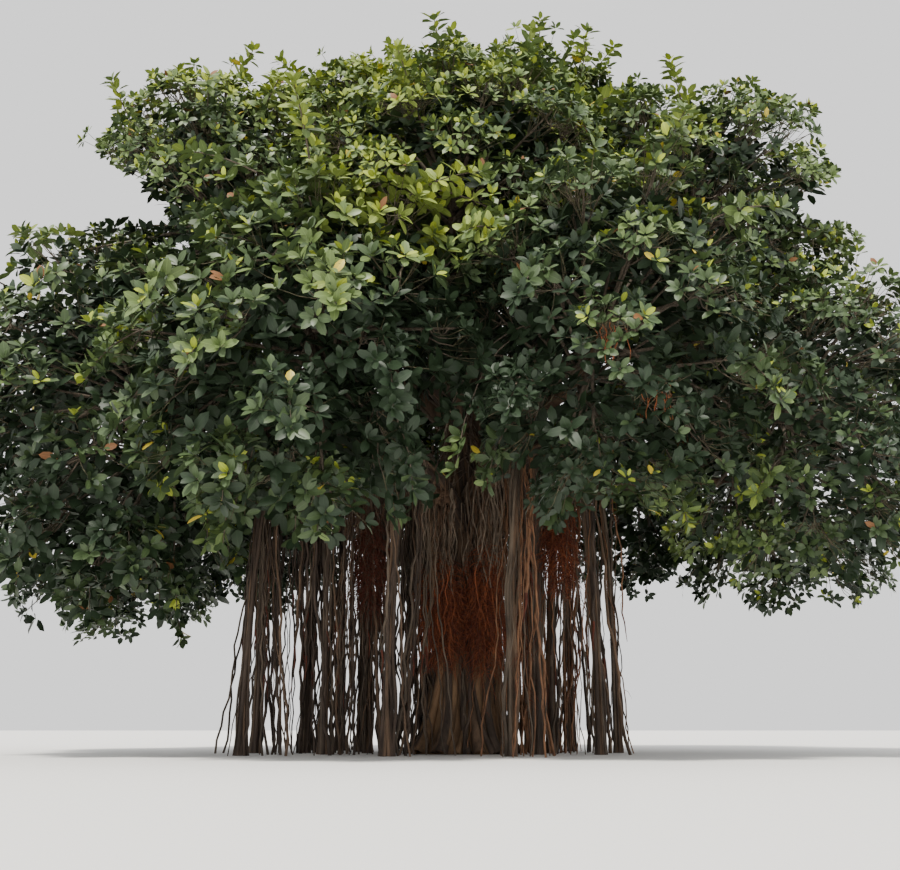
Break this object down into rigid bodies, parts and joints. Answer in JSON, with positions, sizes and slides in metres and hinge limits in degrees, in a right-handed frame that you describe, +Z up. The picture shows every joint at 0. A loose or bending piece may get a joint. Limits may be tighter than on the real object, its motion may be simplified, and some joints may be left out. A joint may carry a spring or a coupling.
{
  "type": "banyan tree",
  "caption": "Banyan tree with a broad dense dome of large leathery leaves, a fluted trunk, prop roots standing round it and bundles of hanging aerial roots.",
  "frame": {"origin": "middle of the flat cut under the trunk, at ground level", "axes": "+Z up the tree, -Y towards somebody who looks at the side that the picture shows, +X to that person's right"},
  "size_m": [14.0795, 12.132, 10.7123],
  "materials": {
    "bark": "rough",
    "prop_bark": "rough",
    "hanging_root": "rough",
    "leaves": "satin"
  },
  "bodies": {
    "root": {"trunk": "bark", "skirt_bough_1": "bark", "skirt_bough_2": "bark", "skirt_bough_3": "bark", "skirt_bough_4": "bark", "skirt_bough_5": "bark", "skirt_bough_6": "bark", "skirt_bough_7": "bark", "skirt_bough_8": "bark", "skirt_bough_9": "bark", "shoulder_bough_1": "bark", "shoulder_bough_2": "bark", "shoulder_bough_3": "bark", "shoulder_bough_4": "bark", "shoulder_bough_5": "bark", "shoulder_bough_6": "bark", "top_bough_1": "bark", "top_bough_2": "bark", "top_bough_3": "bark", "prop_root_1": "prop_bark", "prop_root_2": "prop_bark", "prop_root_3": "prop_bark", "prop_root_4": "prop_bark", "prop_root_5": "prop_bark", "prop_root_6": "prop_bark", "prop_root_7": "prop_bark", "prop_root_8": "prop_bark", "prop_root_9": "prop_bark", "prop_root_10": "prop_bark", "prop_root_11": "prop_bark", "prop_root_12": "prop_bark", "prop_root_13": "prop_bark", "prop_root_14": "prop_bark", "prop_root_15": "prop_bark", "prop_root_16": "prop_bark", "hanging_roots_1": "hanging_root", "hanging_roots_2": "hanging_root", "hanging_roots_3": "hanging_root", "hanging_roots_4": "hanging_root", "hanging_roots_5": "hanging_root", "skirt_foliage_1": "leaves", "skirt_foliage_2": "leaves", "skirt_foliage_3": "leaves", "skirt_foliage_4": "leaves", "skirt_foliage_5": "leaves", "skirt_foliage_6": "leaves", "skirt_foliage_7": "leaves", "skirt_foliage_8": "leaves", "skirt_foliage_9": "leaves", "shoulder_foliage_1": "leaves", "shoulder_foliage_2": "leaves", "shoulder_foliage_3": "leaves", "shoulder_foliage_4": "leaves", "shoulder_foliage_5": "leaves", "shoulder_foliage_6": "leaves", "top_foliage_1": "leaves", "top_foliage_2": "leaves", "top_foliage_3": "leaves", "crown_foliage": "leaves"}
  },
  "joints": []
}
